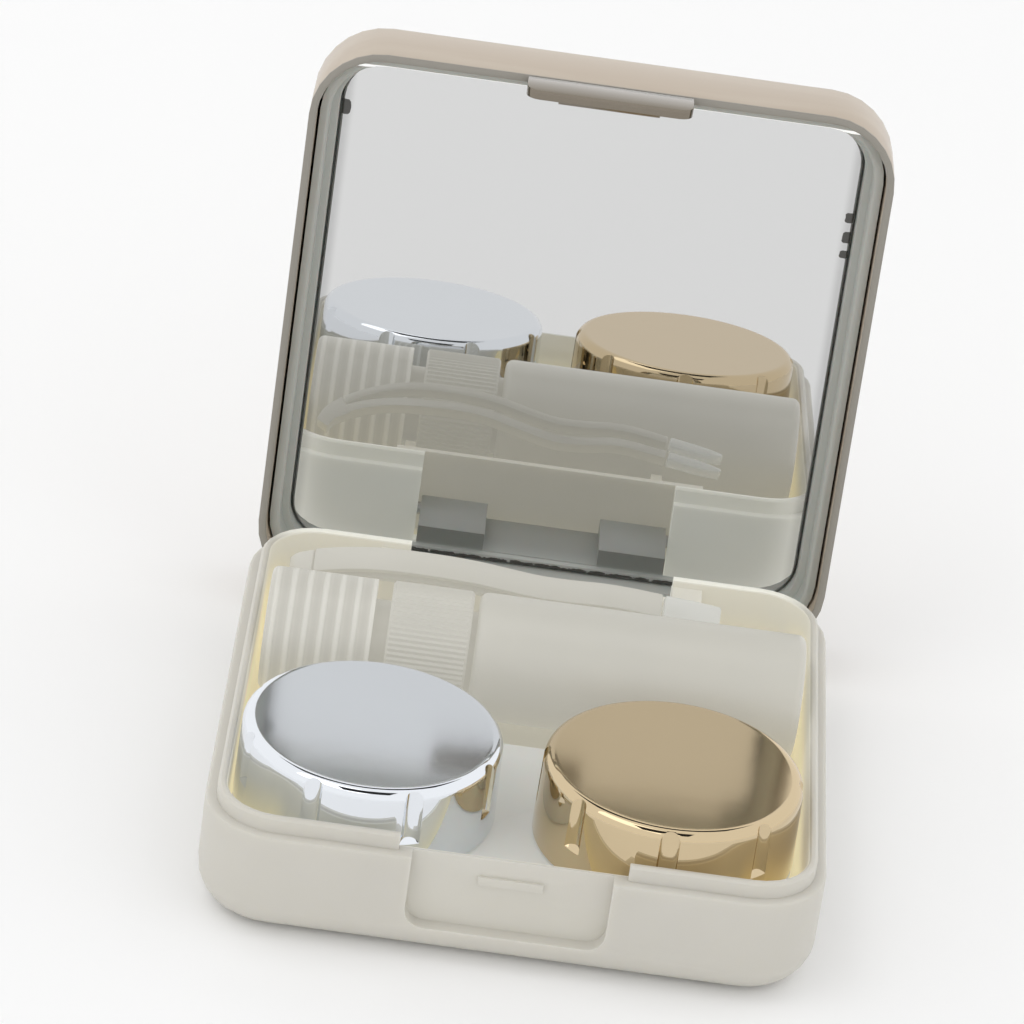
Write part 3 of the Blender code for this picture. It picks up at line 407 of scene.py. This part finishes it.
def frosted_look(name, rings=0.0, axis_x=0.0, transmission=0.30):
    """Frosted polyethylene: light passes, blurred, and a painted glow is emitted. Rings run round a cap at
    that pitch along X, with painted highlight and shade on them.
    """
    shade = tuple(colours().frosted)
    look = Look(name, transmission_weight=transmission, ior=1.40, emission_strength=1.0)
    clouds = look.noise(110.0, 3.0)
    grain = look.noise(3000.0, 2.0)
    height = grain * 0.000008
    base = look.blend(clouds * 0.6, shade, darker(shade, 0.93))
    if rings:
        turns = look.math("SINE", (look.x - axis_x) * (2 * pi / rings))
        ring = turns.rise(0.1, 0.95)
        height = height + ring * 0.00010
        # painted highlight and shade: the rings are real and bumped, but their crests are painted paler and
        # their troughs darker
        base = look.blend(ring * 0.30, base, (0.90, 0.90, 0.87))
        base = look.blend((1 - turns.rise(-0.95, -0.3)) * 0.30, base, darker(shade, 0.80))
    # painted light: the frosted plastic emits a faint glow, so its underside and hollows stay bright
    light = look.blend(clouds, (0.175, 0.172, 0.158), (0.215, 0.208, 0.185))
    return look.surface(base_color=base, roughness=0.30 + clouds * 0.12, bump=height, emission_color=light)


def white_look():
    shade = tuple(colours().white)
    look = Look("white_polypropylene", subsurface_weight=0.25, subsurface_scale=0.0015)
    look.feed(look.shader, {"Emission Strength": 1.0})
    clouds = look.noise(90.0, 3.0)
    grain = look.noise(2600.0, 2.0)
    return look.surface(
        # painted light: the white plastic emits a faint glow, so the wells never fall dark
        emission_color=look.blend(clouds, (0.150, 0.152, 0.145), (0.185, 0.187, 0.178)),
        base_color=look.blend(clouds * 0.5, shade, darker(shade, 0.93)),
        roughness=0.38 + clouds * 0.1,
        bump=grain * 0.000006,
    )


def silicone_look():
    shade = tuple(colours().silicone)
    look = Look("clear_silicone", transmission_weight=0.4, ior=1.41, emission_strength=1.0)
    clouds = look.noise(300.0, 2.0)
    return look.surface(
        base_color=look.blend(clouds, shade, darker(shade, 0.92)),
        # painted light: the silicone emits a faint glow
        emission_color=look.blend(clouds, (0.16, 0.16, 0.15), (0.20, 0.20, 0.185)),
        roughness=0.14 + clouds * 0.1,
        bump=clouds * 0.00002,
    )


def steel_look():
    look = Look("pin_steel", metallic=1.0)
    drawn = look.noise(900.0, 3.0, 0.0, (0.05, 1.0, 1.0))
    return look.surface(
        base_color=look.blend(drawn, (0.62, 0.62, 0.64), (0.48, 0.48, 0.50)),
        roughness=0.24 + drawn * 0.18,
        bump=drawn * 0.000008,
    )


def foam_look():
    look = Look("tape_foam")
    cells = look.noise(1800.0, 4.0)
    return look.surface(
        base_color=look.blend(cells, (0.30, 0.30, 0.29), (0.18, 0.18, 0.175)),
        roughness=0.8 + cells * 0.15,
        bump=cells * 0.00008,
    )


# ---------------------------------------------------------------- making pieces
def to_piece(name, bm, body, look, slot, *nodes):
    """Makes the piece, shades it smooth between its hard edges, and has it ride and stand for its nodes."""
    mesh = bpy.data.meshes.new(name)
    bm.to_mesh(mesh)
    bm.free()
    mesh.materials.append(look)
    mesh.shade_smooth()
    mesh.set_sharp_from_angle(angle=radians(32))
    piece = bpy.data.objects.new(name, mesh)
    bpy.context.scene.collection.objects.link(piece)
    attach(piece, body)
    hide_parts(*nodes)
    return piece


def merged_copy(node):
    """The node's own shape, its loose triangles merged and its flat faces made whole."""
    bm = bmesh.new()
    bm.from_mesh(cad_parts[node].data)
    bmesh.ops.remove_doubles(bm, verts=bm.verts, dist=2e-6)
    bmesh.ops.dissolve_limit(bm, angle_limit=radians(0.6), verts=bm.verts, edges=bm.edges)
    return bm


def eased(bm, width, limit=32.0):
    """Rounds the hard edges a little, as a mould does."""
    hard = [e for e in bm.edges if len(e.link_faces) == 2 and e.calc_face_angle(0.0) > radians(limit)]
    if hard and width:
        bmesh.ops.bevel(
            bm,
            geom=hard,
            offset=width,
            segments=2,
            profile=0.5,
            affect="EDGES",
            material=-1,
            clamp_overlap=True,
        )
    return bm


def finish_node(name, body, look, slot, width=0.0):
    """A finished piece in the shape of the CAD node of nearly the same name."""
    return to_piece(f"{name}_finished", eased(merged_copy(name), width), body, look, slot, name)


def turned(profile, steps):
    """A closed outline of (radius, height) points spun about Z."""
    bm = bmesh.new()
    verts = [bm.verts.new((radius, 0.0, height)) for radius, height in profile]
    edges = [bm.edges.new(pair) for pair in zip(verts, verts[1:])]
    if profile[0][0] > 0 or profile[-1][0] > 0:
        edges.append(bm.edges.new((verts[-1], verts[0])))
    bmesh.ops.spin(
        bm, geom=verts + edges, cent=(0, 0, 0), axis=(0, 0, 1), angle=2 * pi, steps=steps, use_merge=True
    )
    bmesh.ops.remove_doubles(bm, verts=bm.verts, dist=1e-7)
    bmesh.ops.recalc_face_normals(bm, faces=bm.faces)
    return bm


def arc(centre, radius, start_deg, end_deg, steps=8):
    turns = [start_deg + (end_deg - start_deg) * i / steps for i in range(steps + 1)]
    return [(centre[0] + radius * cos(radians(t)), centre[1] + radius * sin(radians(t))) for t in turns]


def along_x(bm, centre, start_x):
    """Lays a shape spun about Z along X, its foot at start_x."""
    bmesh.ops.transform(bm, matrix=Matrix.Rotation(pi / 2, 4, "Y"), verts=bm.verts)
    bmesh.ops.translate(bm, verts=bm.verts, vec=(start_x, centre.y, centre.z))
    return bm


def carve(bm, cutters):
    """The shape with the cutters taken away, by exact booleans."""
    made = []
    for shape in (bm, *cutters):
        mesh = bpy.data.meshes.new("carving")
        shape.to_mesh(mesh)
        shape.free()
        made.append(bpy.data.objects.new("carving", mesh))
        bpy.context.scene.collection.objects.link(made[-1])
    for cutter in made[1:]:
        step = made[0].modifiers.new("cut", "BOOLEAN")
        step.operation = "DIFFERENCE"
        step.solver = "EXACT"
        step.object = cutter
    bpy.context.view_layer.update()
    carved = bpy.data.meshes.new_from_object(made[0].evaluated_get(bpy.context.evaluated_depsgraph_get()))
    result = bmesh.new()
    result.from_mesh(carved)
    bmesh.ops.remove_doubles(result, verts=result.verts, dist=1e-7)
    for item in made:
        bpy.data.objects.remove(item)
    bpy.data.meshes.remove(carved)
    return result


def cap_shell(low, high, phase):
    """A fluted screw cap: a drafted skirt, a rounded top edge and grips that run up through it."""
    wanted = sizes()
    height = high.z - low.z
    centre = Vector(((low.x + high.x) / 2, (low.y + high.y) / 2, low.z))
    skirt = (high.x - low.x) / 2
    top = skirt - height * tan(wanted.cap_draft)
    inner = top - wanted.cap_wall
    fillet = wanted.cap_fillet
    profile = [(0, height - wanted.cap_top), (inner, height - wanted.cap_top), (inner, 0.0001)]
    profile += [(inner + 0.0001, 0.0), (skirt - 0.0001, 0.0), (skirt, 0.0001)]
    profile += arc((top - fillet, height - fillet), fillet, 0, 90, 10)
    # a narrow flat ring keeps the rounding's shading off the flat top
    profile += [(top - 1.15 * fillet, height), (0, height)]
    shell = turned(profile, 160)
    cutters = []
    for i in range(wanted.cap_flutes):
        angle = 2 * pi * i / wanted.cap_flutes + phase
        outward = Vector((cos(angle), sin(angle), 0))
        axis = outward * ((top + skirt) / 2 + wanted.flute_radius - wanted.flute_depth)
        flute = bmesh.new()
        bmesh.ops.create_cone(
            flute,
            cap_ends=True,
            segments=32,
            radius1=wanted.flute_radius,
            radius2=wanted.flute_radius,
            depth=height,
            matrix=Matrix.Translation(axis + Vector((0, 0, height / 2 + wanted.flute_stop))),
        )
        for vert in flute.verts:
            if vert.co.z < height * 0.75:
                vert.co.z -= (vert.co - axis).dot(outward) * 0.7
        cutters.append(flute)
    shell = eased(carve(shell, cutters), 0.00010, 24.0)
    bmesh.ops.translate(shell, verts=shell.verts, vec=centre)
    return shell


# ---------------------------------------------------------------- operators
class MakeTray(bpy.types.Operator):
    """Finish the milky tray and its hinge pins"""

    bl_idname = "lens_case.make_tray"
    bl_label = "Tray"

    def execute(self, context):
        finish_node("base_tray", "tray", milky_look(), "milky_polypropylene", sizes().edge)
        steel = steel_look()
        finish_node("hinge_pin_left", "tray", steel, "pin_steel", 0.00008)
        finish_node("hinge_pin_right", "tray", steel, "pin_steel", 0.00008)
        return {"FINISHED"}


class MakeLid(bpy.types.Operator):
    """Finish the lid: its cover, liner, mirror, tape and catch"""

    bl_idname = "lens_case.make_lid"
    bl_label = "Lid"

    def execute(self, context):
        finish_node("lid_cover", "lid", lacquer_look(), "champagne_lacquer", 0.00012)
        finish_node("lid_liner", "lid", liner_look(), "grey_liner_plastic", sizes().edge)
        finish_node("mirror_glass", "lid", mirror_look(), "silvered_glass")
        finish_node("mirror_tape", "lid", foam_look(), "tape_foam")
        finish_node("lid_catch", "lid", gloss_look(), "champagne_plating", 0.00026)
        return {"FINISHED"}


class MakeWells(bpy.types.Operator):
    """Finish the twin wells, with the threaded inserts and seals inside the caps"""

    bl_idname = "lens_case.make_wells"
    bl_label = "Twin wells"

    def execute(self, context):
        white = white_look()
        clear = silicone_look()
        finish_node("lens_case_body", "lens_case", white, "white_polypropylene", 0.00010)
        for name in ("silver", "gold"):
            finish_node(f"{name}_cap_insert", f"{name}_cap", white, "white_polypropylene")
            finish_node(f"{name}_cap_seal", f"{name}_seal", clear, "clear_silicone")
        return {"FINISHED"}


class MakeCaps(bpy.types.Operator):
    """Make the two plated screw caps"""

    bl_idname = "lens_case.make_caps"
    bl_label = "Screw caps"

    def execute(self, context):
        step = 2 * pi / sizes().cap_flutes
        chrome = plated_look("bright_chrome_plating", tuple(colours().chrome))
        gold = plated_look("pale_gold_plating", tuple(colours().gold))
        shell = cap_shell(CAP_LOW, CAP_HIGH, step / 2)
        to_piece("silver_cap", shell, "silver_cap", chrome, "bright_chrome_plating", "silver_cap_shell")
        shell = cap_shell(GOLD_LOW, GOLD_HIGH, 0.0)
        to_piece("gold_cap", shell, "gold_cap", gold, "pale_gold_plating", "gold_cap_shell")
        return {"FINISHED"}


class MakeBottle(bpy.types.Operator):
    """Make the frosted bottle, its ribbed collar, nozzle and cap"""

    bl_idname = "lens_case.make_bottle"
    bl_label = "Bottle"

    def execute(self, context):
        frosted = frosted_look("frosted_polyethylene")
        finish_node("bottle_body", "bottle", frosted, "frosted_polyethylene")
        finish_node("bottle_nozzle", "bottle", white_look(), "white_polypropylene")
        self.collar(frosted)
        ringed = frosted_look("frosted_ringed_cap", sizes().ring_pitch, BOTTLE_CAP_LOW.x + 0.0004)
        finish_node("bottle_cap", "bottle_cap", ringed, "frosted_polyethylene")
        finish_node("bottle_cap_seal", "bottle_seal", silicone_look(), "clear_silicone")
        return {"FINISHED"}

    def collar(self, look):
        """A ring whose outside is cut into fine ribs along its length."""
        wanted = sizes()
        span = COLLAR_HIGH.x - COLLAR_LOW.x
        outer = (COLLAR_HIGH.z - COLLAR_LOW.z) / 2
        middle = (COLLAR_LOW + COLLAR_HIGH) / 2
        inner = outer - 0.0021
        edge = 0.0003
        profile = [(inner, 0), (outer - edge, 0), (outer, edge), (outer, span - edge)]
        profile += [(outer - edge, span), (inner, span)]
        ring = turned(profile, wanted.collar_ribs * 4)
        for vert in ring.verts:
            radius = vert.co.xy.length
            if radius > outer - 0.5 * edge:
                angle = Vector((1, 0)).angle_signed(vert.co.xy, 0.0)
                dip = wanted.collar_rib * (0.5 - 0.5 * cos(angle * wanted.collar_ribs))
                vert.co.xy *= (radius - dip) / radius
        along_x(ring, middle, COLLAR_LOW.x)
        to_piece("bottle_collar_ribbed", ring, "bottle", look, "frosted_polyethylene", "bottle_collar")


class MakeTweezers(bpy.types.Operator):
    """Finish the tweezers and their soft tips"""

    bl_idname = "lens_case.make_tweezers"
    bl_label = "Tweezers"

    def execute(self, context):
        frosted = frosted_look("frosted_tweezers", transmission=0.25)
        clear = silicone_look()
        for side, body in (("lower", "tweezers"), ("upper", "tweezers_upper")):
            finish_node(f"tweezer_{side}_arm", body, frosted, "frosted_polyethylene", 0.00022)
            finish_node(f"tweezer_{side}_tip", body, clear, "clear_silicone", 0.00025)
        return {"FINISHED"}


class MakeStage(bpy.types.Operator):
    """Set the floor, the soft light and the camera"""

    bl_idname = "lens_case.make_stage"
    bl_label = "Stage"

    def execute(self, context):
        wanted = context.scene.lens_case_stage
        bm = bmesh.new()
        bmesh.ops.create_grid(bm, x_segments=1, y_segments=1, size=3.0)
        bmesh.ops.translate(bm, verts=bm.verts, vec=(0, 0, TRAY_LOW.z - 0.00002))
        self.add("floor", bm, self.plain("floor", tuple(wanted.floor)))
        black = self.plain("dark_card", (0.004, 0.004, 0.004))
        self.card("front_card", -1, 68.0, 0.95, (0.50, 0.42), black)
        self.card("rear_card", 1, 60.0, 0.95, (0.60, 0.26), black)
        self.light(wanted)
        self.camera(context, wanted)
        return {"FINISHED"}

    def card(self, name, side, elevation, distance, size, look):
        """A dark card facing the case from the front or the back, for the polished edges to show."""
        bm = bmesh.new()
        bmesh.ops.create_grid(bm, x_segments=1, y_segments=1, size=0.5)
        bmesh.ops.scale(bm, verts=bm.verts, vec=(*size, 1))
        turn = Matrix.Rotation(-side * radians(90 - elevation), 4, "X")
        bmesh.ops.transform(bm, matrix=turn @ Matrix.Translation((0, 0, distance)), verts=bm.verts)
        self.add(name, bm, look)

    def plain(self, name, shade):
        look = Look(name)
        clouds = look.noise(3.0, 2.0)
        return look.surface(base_color=look.blend(clouds, shade, darker(shade, 0.985)), roughness=0.75)

    def add(self, name, bm, look):
        mesh = bpy.data.meshes.new(name)
        bm.to_mesh(mesh)
        bm.free()
        mesh.materials.append(look)
        made = bpy.data.objects.new(name, mesh)
        bpy.context.scene.collection.objects.link(made)

    def light(self, wanted):
        world = bpy.data.worlds.new("room")
        world.use_nodes = True
        background = world.node_tree.nodes["Background"]
        background.inputs["Color"].default_value = (1.0, 1.0, 1.0, 1.0)
        background.inputs["Strength"].default_value = wanted.room
        bpy.context.scene.world = world
        lamp = bpy.data.lights.new("key", "AREA")
        lamp.shape = "RECTANGLE"
        lamp.size = 0.9
        lamp.size_y = 0.6
        lamp.energy = wanted.key
        key = bpy.data.objects.new("key", lamp)
        key.location = (-0.25, -0.30, 0.95)
        aim = Vector((0, 0, 0.02)) - key.location
        key.rotation_euler = aim.to_track_quat("-Z", "Y").to_euler()
        bpy.context.scene.collection.objects.link(key)
        bpy.context.scene.view_settings.view_transform = "Standard"

    def camera(self, context, wanted):
        level = cos(wanted.elevation)
        back = Vector((sin(wanted.azimuth) * level, -cos(wanted.azimuth) * level, sin(wanted.elevation)))
        right = Vector((0, 0, 1)).cross(back).normalized()
        up = back.cross(right)
        turn = Matrix.Rotation(wanted.roll, 3, "Z")
        axes = Matrix((right, up, back)).transposed() @ turn
        data = bpy.data.cameras.new("camera")
        data.lens = wanted.lens
        data.sensor_width = 36.0
        data.clip_start = 0.01
        camera = bpy.data.objects.new("camera", data)
        place = Vector(wanted.target) + back * wanted.distance
        camera.matrix_world = Matrix.Translation(place) @ axes.to_4x4()
        context.scene.collection.objects.link(camera)
        context.scene.camera = camera


class LensCasePanel(bpy.types.Panel):
    """Lists the steps that finish the case"""

    bl_idname = "VIEW3D_PT_lens_case"
    bl_label = "Lens Case"
    bl_space_type = "VIEW_3D"
    bl_region_type = "UI"
    bl_category = "Lens Case"

    def draw(self, context):
        for operator in OPERATORS:
            self.layout.operator(operator.bl_idname)
        for _, place in GROUPS:
            group = getattr(context.scene, place)
            box = self.layout.box()
            for name in group.bl_rna.properties.keys():
                if name not in ("rna_type", "name"):
                    box.prop(group, name)


OPERATORS = (MakeStage, MakeTray, MakeLid, MakeWells, MakeCaps, MakeBottle, MakeTweezers)
GROUPS = (
    (LensCaseColours, "lens_case_colours"),
    (LensCaseSizes, "lens_case_sizes"),
    (LensCaseStage, "lens_case_stage"),
)


def register():
    for group, name in GROUPS:
        bpy.utils.register_class(group)
        setattr(bpy.types.Scene, name, PointerProperty(type=group))
    for made in (*OPERATORS, LensCasePanel):
        bpy.utils.register_class(made)


def unregister():
    for made in reversed((*OPERATORS, LensCasePanel)):
        bpy.utils.unregister_class(made)
    for group, name in reversed(GROUPS):
        delattr(bpy.types.Scene, name)
        bpy.utils.unregister_class(group)


def main():
    register()
    bpy.ops.lens_case.make_stage()
    bpy.ops.lens_case.make_tray()
    bpy.ops.lens_case.make_lid()
    bpy.ops.lens_case.make_wells()
    bpy.ops.lens_case.make_caps()
    bpy.ops.lens_case.make_bottle()
    bpy.ops.lens_case.make_tweezers()


if __name__ == "__main__":
    main()
